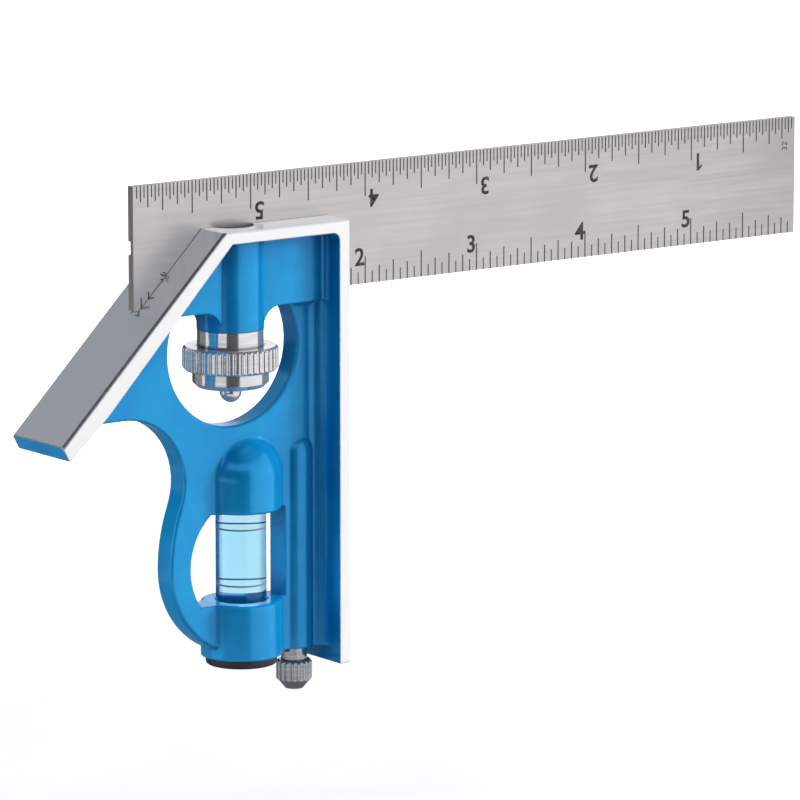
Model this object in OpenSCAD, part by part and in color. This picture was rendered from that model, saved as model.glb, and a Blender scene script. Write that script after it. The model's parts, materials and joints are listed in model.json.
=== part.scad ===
// Combination square: a sliding grooved rule in a cast head with a square face and a mitre face.
// X runs along the blade, Z is up and the front looks to -Y. The origin lies on the square face,
// at the lower edge of the blade and midway through the head.

/* [Blade] */
// Length of the blade
blade_length = 152.4; // [130:0.1:310]
// Width of the blade
blade_width = 22.2; // [20:0.1:25]
// Thickness of the blade
blade_thickness = 1.6; // [1.4:0.1:2.2]
// How far the blade stands out past the square face
blade_reach = 110.1; // [60:0.1:220]
// Width of the groove along the back of the blade
groove_width = 2.4; // [2:0.1:3]
// Depth of that groove
groove_depth = 0.7; // [0.5:0.05:0.9]
// Room between the blade and each wall of its slot
blade_clearance = 0.1; // [0.05:0.01:0.2]

/* [Head] */
// Thickness of the head across its rims
head_thickness = 16.2; // [15.4:0.1:18]
// Depth of the blade slot
slot_depth = 13.4; // [13:0.1:15]
// Height of the square face
square_face = 81.3; // [78:0.1:95]
// Length of the top, from the square face to the mitre
top_length = 27.7; // [27:0.1:32]
// Run of the mitre face along the blade
mitre_run = 34.7; // [33:0.1:38]
// Width of the rim at the square face
square_rim = 2.5; // [2:0.1:3.2]
// Height of the rim along the top
top_rim = 2.1; // [1.5:0.1:2.6]
// Width of the rim along the mitre, near its tip
mitre_rim = 3.6; // [3:0.1:4]
// Width of that rim at the top
mitre_rim_top = 2.7; // [2.4:0.1:3]
// Width of the blunt tip of the mitre
tip_width = 2.8; // [2:0.1:3.1]
// How far the blunt tip slants
tip_slant = 0.8; // [0.2:0.1:1.5]
// Length over which the mitre rim narrows to its tip
tip_taper = 10; // [7:0.5:13]
// Thickness of the web
web_thickness = 4.8; // [4:0.1:5]
// Thickness of the block that holds the slot
block_thickness = 8; // [7:0.1:9.5]
// Metal under the slot
slot_floor = 1.4; // [1:0.1:1.8]
// Radius of the inner corner between the top rim and the square rim
rim_corner = 1.4; // [0.6:0.1:1.8]
// Relief where the slot runs out of the mitre face
mouth_relief = 0.75; // [0.65:0.05:1]
// Radius of the coves between the rims and the web
cove_radius = 3; // [1.5:0.1:3.4]
// Radius of the coves beside the slot block
block_cove = 1.3; // [0.8:0.1:1.4]
// Radius of the fillets at the root of the vial boss
vial_root = 1.5; // [0.8:0.1:2]
// Radius of the fillets at the root of the scriber boss
scriber_root = 1; // [0.5:0.1:1.2]
// Rounding of the cast edges
edge_radius = 0.6; // [0.2:0.05:0.9]
// Chamfer beside the ground faces
face_chamfer = 0.45; // [0.2:0.05:0.6]

/* [Nut opening] */
// Radius of the round opening
opening_radius = 14.1; // [13.6:0.1:14.6]
// Distance from the square face to its centre
opening_offset = 21.9; // [21.4:0.1:22.8]
// Depth of its centre below the blade
opening_drop = 8.6; // [8:0.1:9.2]

/* [Handle] */
// Depth of the web's lower edge, beside the mitre, below the blade
web_drop = 19.3; // [18:0.1:19.8]
// Radius of the finger notch
notch_radius = 12.6; // [11:0.1:13.4]
// Radius of the upper bend of the handle
arm_radius = 32; // [27:0.5:36]
// Radius of the lower bend of the handle
loop_radius = 16.9; // [16.2:0.1:17.4]
// Width of the handle arm
arm_width = 4.5; // [3.5:0.1:5.2]
// How far the bend's centre lies below the middle of the vial
loop_drop = 1.3; // [0.5:0.05:2]

/* [Lock] */
// Distance from the square face to the bolt
bolt_offset = 20.9; // [20:0.1:21.5]
// Radius of the hooked body of the bolt
bolt_radius = 4.2; // [3.6:0.1:4.4]
// Radius of the threaded shank
shank_radius = 2; // [1.6:0.1:2.2]
// Length of the bolt below the blade
bolt_drop = 18.8; // [18.2:0.1:19.6]
// Radius of the boss round the bolt
bolt_boss_radius = 6.1; // [5.8:0.1:6.6]
// Length of that boss below the blade
bolt_boss_drop = 5.3; // [5:0.1:5.6]
// Radius of the fillets beside that boss
boss_fillet = 3.7; // [2.5:0.1:3.8]
// Thread pitch of the bolt
thread_pitch = 0.7; // [0.5:0.05:0.75]
// Height of the lug that sits in the groove
lug_height = 1.5; // [1:0.1:1.6]
// Radius of the knurled nut
nut_radius = 8.7; // [8.3:0.1:9]
// Height of its knurled disc
nut_height = 4.4; // [3.8:0.1:5]
// Radius of the hub above the disc
collar_radius = 6; // [5.4:0.1:6.6]
// Height of the hub above the disc
collar_height = 2.95; // [2.5:0.05:3.2]
// Radius of the hub below the disc
hub_radius = 6.9; // [6:0.1:7.4]
// Height of the hub below the disc
hub_height = 3.1; // [2.4:0.1:3.4]
// Number of flutes round the nut
nut_flutes = 48; // [36:1:54]
// Diameter of the spring wire
wire_diameter = 0.6; // [0.5:0.05:0.65]
// Radius of the spring at the middle of its wire
spring_radius = 2.95; // [2.7:0.05:3]
// Turns of the spring
spring_turns = 2.5; // [2:0.25:2.75]

/* [Vial] */
// Distance from the square face to the vial
vial_offset = 18.8; // [18.4:0.1:19.2]
// Height of the middle of the vial above the ends of the bosses
vial_rise = 18.45; // [18:0.05:19]
// Length of the vial
vial_length = 28; // [26:0.5:29]
// Radius of the vial
vial_radius = 4.6; // [4.2:0.1:4.8]
// Radius of its bore at the middle
vial_bore = 3.6; // [3.2:0.1:3.7]
// How much its barrel-shaped bore narrows at the ends
vial_crown = 0.15; // [0.05:0.01:0.25]
// Height of the window that shows the vial
window_height = 16.6; // [15:0.1:18]
// Radius of the boss round the vial
vial_boss_radius = 7.35; // [6.9:0.05:7.6]
// Air left over the liquid
air_height = 2.9; // [2:0.1:4]
// Radius of the end cap
cap_radius = 6.5; // [6:0.1:6.8]
// Thickness of the end cap
cap_thickness = 1.7; // [1.2:0.1:2.4]

/* [Scriber] */
// Distance from the square face to the scriber
scriber_offset = 7.1; // [6.8:0.1:7.3]
// Radius of the scriber pin
pin_radius = 1.2; // [1:0.05:1.3]
// Length of the pin inside the head
pin_length = 34; // [28:0.5:35]
// Radius of the boss round the scriber
scriber_boss_radius = 3.5; // [3.3:0.1:3.6]
// Outer radius of the friction sleeve
sleeve_radius = 2.4; // [2.1:0.05:2.5]
// Length of the friction sleeve
sleeve_length = 5; // [3:0.5:8]
// Radius of the knurled knob
knob_radius = 3.3; // [3:0.1:3.5]
// Height of its knurled part
knob_height = 4; // [3:0.1:5]
// Radius of the neck above the knob
neck_radius = 2.4; // [2:0.1:2.8]
// Height of that neck
neck_height = 2.45; // [1.5:0.05:3]
// Number of flutes round the knob
knob_flutes = 18; // [12:1:20]

/* [Hidden] */
$fn = 72;
paint_blue = [0.05, 0.42, 0.76];
steel_grey = [0.76, 0.75, 0.73];
bright_chrome = [0.86, 0.86, 0.87];
clear_acrylic = [0.86, 0.95, 0.98, 0.4];
pale_liquid = [0.62, 0.9, 0.98, 0.6];
cap_black = [0.04, 0.04, 0.05];
brass_gold = [0.75, 0.6, 0.3];

// Levels and places that follow from the driving sizes
overcut = 1;
overlap = 0.5;
slip = 0.1;
press_gap = 0.02;
face_gap = 0.05;
top_chamfer = 0.7 * face_chamfer;
head_half = head_thickness / 2;
web_half = web_thickness / 2;
block_half = block_thickness / 2;
blade_half = blade_thickness / 2;
top = slot_depth;
face_bottom = top - square_face;
boss_step = 2.7;
boss_bottom = face_bottom + boss_step;
mitre_angle = 45;
mitre_x = -top_length - mitre_run;
mitre_z = top - mitre_run * tan(mitre_angle);
mitre_length = mitre_run / cos(mitre_angle);
function mitre_point(along, depth) = [
    mitre_x + along * cos(mitre_angle) + depth * sin(mitre_angle),
    mitre_z + along * sin(mitre_angle) - depth * cos(mitre_angle)
];
rim_end = (top - top_rim - mitre_z + mitre_rim_top * cos(mitre_angle)) / sin(mitre_angle);
rim_run = rim_end - tip_taper;
rim_angle = atan((mitre_rim - mitre_rim_top) / rim_run);
bolt_x = -bolt_offset;
vial_x = -vial_offset;
scriber_x = -scriber_offset;
opening_x = -opening_offset;
vial_mid = boss_bottom + vial_rise;
window_low = vial_mid - window_height / 2;
window_high = vial_mid + window_height / 2;
window_right = scriber_x - scriber_boss_radius;
window_radius = loop_radius - arm_width;

// Handle: the finger notch, the arm and the loop meet in arcs that run into each other
blend = 0.02;
blend_angle = 2;
notch_edge = 0.8 * edge_radius;
loop_z = vial_mid - loop_drop;
loop_left = vial_x - loop_radius;
arm_x = loop_left + arm_radius;
notch_z = -web_drop - notch_radius;
bend_sum = arm_radius + notch_radius;
notch_rise = notch_z - loop_z;
notch_run = sqrt(bend_sum * bend_sum - notch_rise * notch_rise);
notch_x = arm_x - notch_run + blend;
bend_angle = atan2(notch_rise, notch_run);
bend_z = notch_z - notch_radius * sin(bend_angle);
web_left = mitre_x + mitre_run - top - web_drop + mitre_rim / 2;

// Lock: the bolt is drawn down by the nut, so its lug bears on the lower flank of the groove
groove_low = (blade_width - groove_width) / 2;
bolt_top = top - thread_pitch - slip;
blade_room = 0.3;
bolt_shoulder = -thread_pitch - blade_room;
bolt_foot = 1;
bolt_body_low = bolt_shoulder - bolt_foot;
bolt_room = 0.15;
bolt_bore = bolt_radius + bolt_room;
bolt_bore_room = 0.4;
bolt_bore_low = bolt_body_low - bolt_bore_room;
shank_room = 0.2;
shank_bore = shank_radius + shank_room;
nut_bore = shank_radius + face_gap;
lug_half = 2.4;
lug_reach = groove_depth - slip;
spring_room = 0.4;
spring_pocket = spring_radius + wire_diameter / 2 + spring_room;
spring_pocket_depth = 1.7;
nut_top = -bolt_boss_drop - face_gap;
disc_top = nut_top - collar_height;
disc_low = disc_top - nut_height;
nut_low = disc_low - hub_height;
nut_recess = 1.9;
flute_radius = 0.5;
flute_depth = 0.25;
flute_sides = 24;
knurl_chamfer = 0.5;
hub_chamfer = 0.9;
spring_top = -bolt_boss_drop + spring_pocket_depth - press_gap;
spring_low = nut_top - nut_recess + press_gap;

// Vial: it lies in its bore between the blind end and the cap
vial_fit = 0.25;
vial_seat = vial_radius + vial_fit;
vial_low = vial_mid - vial_length / 2;
vial_high = vial_mid + vial_length / 2;
vial_end = 1.5;
plug_thickness = 2;
liquid_gap = 0.03;
dome_rise = 0.35;
dome_z = vial_high + dome_rise;
cap_edge = 0.6;

// Scriber: the pin slides in the friction sleeve
pin_tip = boss_bottom + pin_length;
point_length = 6;
pin_room = 0.4;
pin_bore = pin_radius + pin_room;
sleeve_bore = pin_radius + face_gap;
scriber_dome_rise = 2.1;
scriber_dome_z = pin_tip + scriber_dome_rise;
neck_top = boss_bottom - face_gap;
knob_top = neck_top - neck_height;
knob_low = knob_top - knob_height;
knob_cone = 1.4;
knob_cone_radius = knob_radius / 2;
pin_root = 1;
pin_low = knob_low + pin_root;

// Stands a flat outline up in the plane of the blade, centred on the middle of the head
module plate(thickness) {
    rotate([90, 0, 0]) linear_extrude(thickness, center = true) children();
}

// Repeats a feature of the back face on the front face
module both_faces() {
    children();
    mirror([0, 1, 0]) children();
}

// Frame whose X runs up the mitre face and whose Z points out of it
module mitre_frame() {
    translate([mitre_x, 0, mitre_z]) rotate([0, -mitre_angle, 0]) children();
}

// Turns a profile so that its x lies along Y, its y along Z and its length along X
module along_x() {
    rotate([90, 0, 90]) children();
}

// Concave corner fillet, with its walls along x and y, that reaches into both walls
module corner_fill(radius) {
    difference() {
        translate([-overlap, -overlap]) square(radius + overlap);
        translate([radius, radius]) circle(radius);
    }
}

// The same fillet along a straight length
module cove(length, radius) {
    linear_extrude(length) corner_fill(radius);
}

// What a convex rounding removes from a corner at (radius, radius)
module corner_waste(radius) {
    difference() {
        square(radius + overcut);
        circle(radius);
    }
}

// Rounds the back edge of a web cut to an outer arc
module round_outside(x, z, radius, from, to) {
    translate([x, 0, z]) rotate([90, 0, 0]) mirror([0, 0, 1]) rotate(from)
        rotate_extrude(angle = to - from) translate([radius - edge_radius, web_half - edge_radius])
            corner_waste(edge_radius);
}

// Rounds the back edge of a hole or notch in the web
module round_inside(x, z, radius, from, to, edge) {
    translate([x, 0, z]) rotate([90, 0, 0]) mirror([0, 0, 1]) rotate(from)
        rotate_extrude(angle = to - from) translate([radius + edge, web_half - edge])
            mirror([1, 0, 0]) corner_waste(edge);
}

// Rounds the back edge of the web's straight lower side
module round_below(left, right, z) {
    translate([left, web_half - edge_radius, z + edge_radius]) along_x()
        linear_extrude(right - left) mirror([0, 1]) corner_waste(edge_radius);
}

// Cylinder with fluted sides and chamfered ends, standing on z = 0
module knurled(radius, height, flutes) {
    intersection() {
        linear_extrude(height) difference() {
            circle(radius);
            for (i = [0 : flutes - 1])
                rotate(i * 360 / flutes) translate([radius + flute_radius - flute_depth, 0])
                    circle(flute_radius, $fn = flute_sides);
        }
        rotate_extrude() polygon([
            [0, 0],
            [radius - knurl_chamfer, 0],
            [radius, knurl_chamfer],
            [radius, height - knurl_chamfer],
            [radius - knurl_chamfer, height],
            [0, height]
        ]);
    }
}

// Outline of the rims: square face, top and mitre, with the blunt tip
module rim_outline() {
    translate([-square_rim, face_bottom]) square([square_rim, square_face]);
    translate([-top_length, top - top_rim]) square([top_length, top_rim]);
    translate([-square_rim, top - top_rim]) rotate(180) corner_fill(rim_corner);
    polygon([
        [mitre_x, mitre_z],
        mitre_point(-tip_slant, tip_width),
        mitre_point(tip_taper, mitre_rim),
        mitre_point(rim_end, mitre_rim_top),
        [-top_length, top]
    ]);
}

// Outline of the web down to the bend of the handle
module web_outline() {
    difference() {
        polygon([
            [-square_rim / 2, boss_bottom],
            [-square_rim / 2, top - top_rim / 2],
            [-top_length, top - top_rim / 2],
            [web_left, -web_drop],
            [notch_x, -web_drop],
            [notch_x, bend_z],
            [vial_x, bend_z],
            [vial_x, boss_bottom]
        ]);
        translate([notch_x, notch_z]) circle(notch_radius);
    }
    intersection() {
        translate([arm_x, loop_z]) circle(arm_radius);
        translate([loop_left - overcut, loop_z])
            square([loop_radius + overcut, bend_z - loop_z + overcut]);
    }
    intersection() {
        translate([vial_x, loop_z]) circle(loop_radius);
        translate([loop_left - overcut, loop_z - loop_radius - overcut])
            square([loop_radius + overcut, loop_radius + overcut]);
    }
}

// Window beside the vial: the inside of the handle loop, stopped by the bosses
module window_outline() {
    intersection() {
        translate([vial_x, loop_z]) circle(window_radius);
        translate([vial_x - window_radius, window_low])
            square([window_radius + window_right - vial_x, window_height]);
    }
}

// Section of the fillet between the web and a round boss on its middle plane
module root_section(radius, fillet) {
    height = web_half + fillet;
    reach = sqrt((radius + fillet) * (radius + fillet) - height * height);
    difference() {
        polygon([[0, 0], [reach, 0], [reach, height]]);
        translate([reach - blend, height - blend]) circle(fillet);
    }
}

// Fillets along both sides of a boss and round its domed end, on the front of the web
module boss_root(x, dome, radius, fillet) {
    translate([x, 0, boss_bottom]) mirror([0, 1, 0]) {
        linear_extrude(dome - boss_bottom) root_section(radius, fillet);
        mirror([1, 0, 0]) linear_extrude(dome - boss_bottom) root_section(radius, fillet);
    }
    translate([x, 0, dome]) rotate([90, 0, 0]) rotate_extrude(angle = 180) root_section(radius, fillet);
}

// Web with its coves, window, opening and rounded edges
module web() {
    window_top_angle = 180 - asin((window_high - loop_z) / window_radius);
    window_low_angle = 180 + asin((loop_z - window_low) / window_radius);
    difference() {
        union() {
            plate(web_thickness) web_outline();
            both_faces() {
                translate([-square_rim, web_half, boss_bottom]) mirror([1, 0, 0])
                    cove(top - top_rim / 2 - boss_bottom, cove_radius);
                mitre_frame() translate([tip_taper, web_half, -mitre_rim]) rotate([0, -rim_angle, 0])
                    mirror([0, 0, 1]) along_x() cove(rim_run - mitre_rim, cove_radius);
                translate([bolt_x, web_half, -slot_floor]) mirror([0, 0, 1])
                    along_x() cove(bolt_offset - square_rim / 2, block_cove);
                intersection() {
                    plate(head_thickness) web_outline();
                    boss_root(vial_x, dome_z, vial_boss_radius, vial_root);
                }
                boss_root(scriber_x, scriber_dome_z, scriber_boss_radius, scriber_root);
            }
        }
        translate([opening_x, 0, -opening_drop]) rotate([90, 0, 0])
            cylinder(r = opening_radius, h = head_thickness, center = true);
        plate(head_thickness) window_outline();
        both_faces() {
            round_inside(opening_x, -opening_drop, opening_radius, 0, 360, edge_radius);
            round_inside(vial_x, loop_z, window_radius, window_top_angle, window_low_angle, edge_radius);
            round_inside(
                notch_x, notch_z, notch_radius, -bend_angle - blend_angle, 90 + blend_angle, notch_edge
            );
            translate([0, 0, loop_z]) mirror([0, 0, 1])
                round_outside(arm_x, 0, arm_radius, 180, 180 + bend_angle);
            round_outside(vial_x, loop_z, loop_radius, 180, 270);
            round_below(web_left, notch_x, -web_drop);
        }
    }
}

// One fillet from the underside of the slot block to the side of the bolt boss
module boss_gusset() {
    boss_side = sqrt(bolt_boss_radius * bolt_boss_radius - block_half * block_half);
    reach = boss_side - slip + boss_fillet;
    difference() {
        translate([0, -boss_fillet]) square([reach, boss_fillet + overlap]);
        translate([reach, -boss_fillet]) circle(boss_fillet);
    }
}

// Block that holds the blade slot, with the bolt boss and its fillets
module slot_block() {
    block_low = -slot_floor;
    plate(block_thickness) {
        polygon([
            [-square_rim / 2, block_low],
            [-square_rim / 2, top - top_rim / 2],
            [-top_length, top - top_rim / 2],
            [-top_length - top - slot_floor + mitre_rim / 2, block_low]
        ]);
        translate([bolt_x, block_low]) {
            boss_gusset();
            mirror([1, 0]) boss_gusset();
        }
    }
    both_faces() {
        translate([-square_rim, block_half, block_low]) mirror([1, 0, 0])
            cove(top - top_rim / 2 - block_low, block_cove);
        translate([-top_length, block_half, top - top_rim]) mirror([0, 0, 1])
            along_x() cove(top_length - square_rim / 2, block_cove);
    }
    translate([bolt_x, 0, -bolt_boss_drop])
        cylinder(r = bolt_boss_radius, h = top + bolt_boss_drop - top_rim / 2);
}

// Vial boss: a domed barrel above the window and a plain one below it
module vial_boss() {
    lower_height = window_low - boss_bottom;
    upper_height = dome_z - window_high;
    translate([vial_x, 0, boss_bottom]) rotate_extrude() difference() {
        square([vial_boss_radius, lower_height]);
        translate([vial_boss_radius - edge_radius, lower_height - edge_radius])
            corner_waste(edge_radius);
    }
    translate([vial_x, 0, window_high]) rotate_extrude() difference() {
        square([vial_boss_radius, upper_height]);
        translate([vial_boss_radius - edge_radius, edge_radius]) mirror([0, 1])
            corner_waste(edge_radius);
    }
    translate([vial_x, 0, dome_z]) sphere(vial_boss_radius);
}

// Scriber boss: a slim barrel with a round end
module scriber_boss() {
    translate([scriber_x, 0, boss_bottom])
        cylinder(r = scriber_boss_radius, h = scriber_dome_z - boss_bottom);
    translate([scriber_x, 0, scriber_dome_z]) sphere(scriber_boss_radius);
}

// Bores for the bolt, its spring, the vial and the scriber
module head_bores() {
    translate([bolt_x, 0, bolt_bore_low]) cylinder(r = bolt_bore, h = top - bolt_bore_low + overcut);
    translate([bolt_x, 0, -bolt_boss_drop - overcut])
        cylinder(r = shank_bore, h = bolt_boss_drop + overcut);
    translate([bolt_x, 0, -bolt_boss_drop - overcut])
        cylinder(r = spring_pocket, h = spring_pocket_depth + overcut);
    translate([vial_x, 0, boss_bottom - overcut])
        cylinder(r = vial_seat, h = vial_high + slip - boss_bottom + overcut);
    translate([scriber_x, 0, boss_bottom - overcut])
        cylinder(r = pin_bore, h = pin_length + pin_radius + overcut);
    translate([scriber_x, 0, boss_bottom - overcut])
        cylinder(r = sleeve_radius + press_gap, h = sleeve_length + press_gap + overcut);
}

// What a chamfer removes from a corner at the origin, run past both of its faces
module chamfer_waste(size) {
    polygon([[overlap, overlap], [-size - overlap, overlap], [overlap, -size - overlap]]);
}

// Chamfers where the ground faces meet the rims
module face_chamfers() {
    both_faces() {
        mitre_frame() translate([-mitre_rim, head_half, 0])
            along_x() linear_extrude(mitre_length + 2 * mitre_rim) chamfer_waste(face_chamfer);
        translate([-top_length - overcut, head_half, top])
            along_x() linear_extrude(top_length + 2 * overcut) chamfer_waste(top_chamfer);
        translate([0, head_half, face_bottom - overcut])
            linear_extrude(square_face + 2 * overcut) chamfer_waste(face_chamfer);
    }
}

// Slot for the blade, with its relief at the mitre face
module blade_slot() {
    slot_width = blade_thickness + 2 * blade_clearance;
    mouth_x = mitre_x - mitre_z;
    mouth_left = mouth_x - mouth_relief - 2 * overlap;
    translate([mitre_x, -slot_width / 2, 0]) cube([-mitre_x + overcut, slot_width, top + overcut]);
    plate(slot_width) polygon([
        [mouth_left, -mouth_relief - overlap],
        [mouth_x + mouth_relief + 2 * overlap, overlap],
        [mouth_left, overlap]
    ]);
}

module head() {
    color(paint_blue) difference() {
        union() {
            plate(head_thickness) rim_outline();
            web();
            slot_block();
            vial_boss();
            scriber_boss();
        }
        blade_slot();
        head_bores();
        face_chamfers();
    }
}

module blade() {
    color(steel_grey) translate([blade_reach - blade_length, 0, 0]) difference() {
        translate([0, -blade_half, 0]) cube([blade_length, blade_thickness, blade_width]);
        translate([-overcut, blade_half - groove_depth, groove_low])
            cube([blade_length + 2 * overcut, groove_depth + overcut, groove_width]);
    }
}

// Bolt: a round body, cut back to the blade's face, with a lug that reaches into the groove
module lock_bolt() {
    flat_y = blade_half + blade_clearance;
    color(bright_chrome) translate([bolt_x, 0, 0]) {
        difference() {
            translate([0, 0, bolt_body_low]) cylinder(r = bolt_radius, h = bolt_top - bolt_body_low);
            translate([-bolt_radius - overcut, flat_y - 2 * bolt_radius, bolt_shoulder])
                cube([2 * (bolt_radius + overcut), 2 * bolt_radius, bolt_top - bolt_shoulder + overcut]);
        }
        translate([-lug_half, blade_half - lug_reach, groove_low + press_gap])
            cube([2 * lug_half, lug_reach + 2 * blade_clearance, lug_height]);
        translate([0, 0, shank_radius - bolt_drop])
            cylinder(r = shank_radius, h = bolt_drop - shank_radius + bolt_body_low + slip);
        translate([0, 0, shank_radius - bolt_drop]) sphere(shank_radius);
    }
}

module lock_nut() {
    color(bright_chrome) translate([bolt_x, 0, 0]) difference() {
        union() {
            translate([0, 0, disc_top - slip]) cylinder(r = collar_radius, h = collar_height + slip);
            translate([0, 0, disc_low]) knurled(nut_radius, nut_height, nut_flutes);
            translate([0, 0, nut_low]) rotate_extrude() polygon([
                [0, 0],
                [hub_radius - hub_chamfer, 0],
                [hub_radius, hub_chamfer],
                [hub_radius, hub_height + slip],
                [0, hub_height + slip]
            ]);
        }
        translate([0, 0, nut_low - overcut])
            cylinder(r = nut_bore, h = nut_top - nut_low + 2 * overcut);
        translate([0, 0, nut_top - nut_recess]) cylinder(r = spring_pocket, h = nut_recess + overcut);
    }
}

// Spring: one unbroken helix of triangles between the boss and the nut
spring_sides = 6;
spring_steps = 8;
spring_rings = ceil(spring_turns * spring_steps);
wire_radius = wire_diameter / 2;
spring_start = spring_low + wire_radius;
spring_climb = spring_top - spring_low - wire_diameter;
function spring_angle(i) = 360 * spring_turns * i / spring_rings;
function spring_centre(i) = [
    bolt_x + spring_radius * cos(spring_angle(i)),
    spring_radius * sin(spring_angle(i)),
    spring_start + spring_climb * i / spring_rings
];
function wire_point(i, k) = let (
    a = spring_angle(i),
    b = 360 * k / spring_sides,
    c = spring_centre(i),
    out = wire_radius * cos(b)
) [c[0] + out * cos(a), c[1] + out * sin(a), c[2] + wire_radius * sin(b)];
spring_points = [
    for (i = [0 : spring_rings]) for (k = [0 : spring_sides - 1]) wire_point(i, k)
];
function ring_index(i, k) = i * spring_sides + k % spring_sides;
spring_faces = concat(
    [for (i = [0 : spring_rings - 1]) for (k = [0 : spring_sides - 1])
        [ring_index(i, k), ring_index(i, k + 1), ring_index(i + 1, k)]],
    [for (i = [0 : spring_rings - 1]) for (k = [0 : spring_sides - 1])
        [ring_index(i, k + 1), ring_index(i + 1, k + 1), ring_index(i + 1, k)]],
    [for (k = [1 : spring_sides - 2]) [ring_index(0, 0), ring_index(0, k + 1), ring_index(0, k)]],
    [for (k = [1 : spring_sides - 2])
        [ring_index(spring_rings, 0), ring_index(spring_rings, k), ring_index(spring_rings, k + 1)]]
);
spring_self_gap = min([
    for (i = [0 : spring_rings - spring_steps]) for (j = [i + spring_steps / 2 : spring_rings])
        norm(spring_centre(i) - spring_centre(j)) - wire_diameter
]);
echo(spring_self_gap = spring_self_gap);

module lock_spring() {
    color(steel_grey) polyhedron(spring_points, spring_faces);
}

// Half section of the vial's bore, which narrows from the middle to both ends
module vial_bore_section(gap) {
    half = vial_length / 2;
    polygon([
        [0, -half],
        [vial_bore - vial_crown - gap, -half],
        [vial_bore - gap, 0],
        [vial_bore - vial_crown - gap, half],
        [0, half]
    ]);
}

module vial_tube() {
    half = vial_length / 2;
    color(clear_acrylic) translate([vial_x, 0, vial_mid]) rotate_extrude() {
        difference() {
            translate([0, -half]) square([vial_radius, vial_length]);
            vial_bore_section(0);
        }
        translate([0, half - vial_end]) square([vial_radius, vial_end]);
    }
}

module vial_fluid() {
    half = vial_length / 2;
    liquid_low = plug_thickness + liquid_gap - half;
    liquid_high = half - vial_end - air_height;
    color(pale_liquid) translate([vial_x, 0, vial_mid]) rotate_extrude() intersection() {
        vial_bore_section(liquid_gap);
        translate([0, liquid_low]) square([vial_bore, liquid_high - liquid_low]);
    }
}

module vial_plug() {
    color(clear_acrylic) translate([vial_x, 0, vial_low])
        cylinder(r = vial_bore - vial_crown - liquid_gap, h = plug_thickness);
}

module vial_cap() {
    color(cap_black) translate([vial_x, 0, boss_bottom - cap_thickness]) {
        rotate_extrude() difference() {
            square([cap_radius, cap_thickness]);
            translate([cap_radius - cap_edge, cap_edge]) mirror([0, 1]) corner_waste(cap_edge);
        }
        translate([0, 0, cap_thickness - slip])
            cylinder(r = vial_seat - face_gap, h = vial_low - boss_bottom - face_gap + slip);
    }
}

module scriber_shank() {
    color(steel_grey) translate([scriber_x, 0, 0]) {
        translate([0, 0, pin_low]) cylinder(r = pin_radius, h = pin_tip - point_length - pin_low);
        translate([0, 0, pin_tip - point_length])
            cylinder(r1 = pin_radius, r2 = press_gap, h = point_length);
    }
}

module scriber_head() {
    color(bright_chrome) translate([scriber_x, 0, 0]) difference() {
        union() {
            translate([0, 0, knob_top - slip]) cylinder(r = neck_radius, h = neck_height + slip);
            translate([0, 0, knob_low]) knurled(knob_radius, knob_height, knob_flutes);
            translate([0, 0, knob_low - knob_cone]) cylinder(
                r1 = knob_cone_radius, r2 = knob_radius - knurl_chamfer, h = knob_cone + press_gap
            );
        }
        translate([0, 0, pin_low - press_gap])
            cylinder(r = pin_radius + press_gap, h = neck_top - pin_low + overcut);
    }
}

module scriber_sleeve() {
    color(brass_gold) translate([scriber_x, 0, boss_bottom]) difference() {
        cylinder(r = sleeve_radius, h = sleeve_length);
        translate([0, 0, -overcut]) cylinder(r = sleeve_bore, h = sleeve_length + 2 * overcut);
    }
}

head();
blade();
lock_bolt();
lock_nut();
lock_spring();
vial_tube();
vial_fluid();
vial_plug();
vial_cap();
scriber_shank();
scriber_head();
scriber_sleeve();
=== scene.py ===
import json
import math

import bmesh
import bpy
from mathutils import Matrix, Vector


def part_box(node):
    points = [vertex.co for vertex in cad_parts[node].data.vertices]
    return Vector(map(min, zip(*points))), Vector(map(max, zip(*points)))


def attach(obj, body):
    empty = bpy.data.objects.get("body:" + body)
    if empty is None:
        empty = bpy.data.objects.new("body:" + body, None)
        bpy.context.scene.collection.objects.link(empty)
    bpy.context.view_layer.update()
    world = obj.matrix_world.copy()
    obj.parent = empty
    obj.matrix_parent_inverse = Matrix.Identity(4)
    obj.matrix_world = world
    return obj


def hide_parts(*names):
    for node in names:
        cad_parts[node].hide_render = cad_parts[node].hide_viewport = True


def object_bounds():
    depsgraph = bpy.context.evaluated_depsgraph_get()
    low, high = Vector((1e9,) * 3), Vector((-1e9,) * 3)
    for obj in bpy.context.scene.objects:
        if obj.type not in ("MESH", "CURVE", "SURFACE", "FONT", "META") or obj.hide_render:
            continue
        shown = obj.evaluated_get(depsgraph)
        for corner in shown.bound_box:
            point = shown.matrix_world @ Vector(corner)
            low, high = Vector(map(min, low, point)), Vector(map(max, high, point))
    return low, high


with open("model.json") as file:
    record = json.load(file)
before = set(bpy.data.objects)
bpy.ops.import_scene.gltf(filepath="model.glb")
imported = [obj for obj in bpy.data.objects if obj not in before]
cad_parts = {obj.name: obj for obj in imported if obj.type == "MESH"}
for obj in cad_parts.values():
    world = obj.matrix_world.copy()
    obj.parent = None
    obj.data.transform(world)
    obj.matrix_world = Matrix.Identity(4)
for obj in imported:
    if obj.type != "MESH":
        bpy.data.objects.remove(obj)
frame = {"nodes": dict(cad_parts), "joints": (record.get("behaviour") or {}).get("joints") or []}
cad_box = [list(corner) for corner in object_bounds()]

MM = 0.001
INCH = 25.4 * MM
WHITE = (1, 1, 1, 1)

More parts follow.
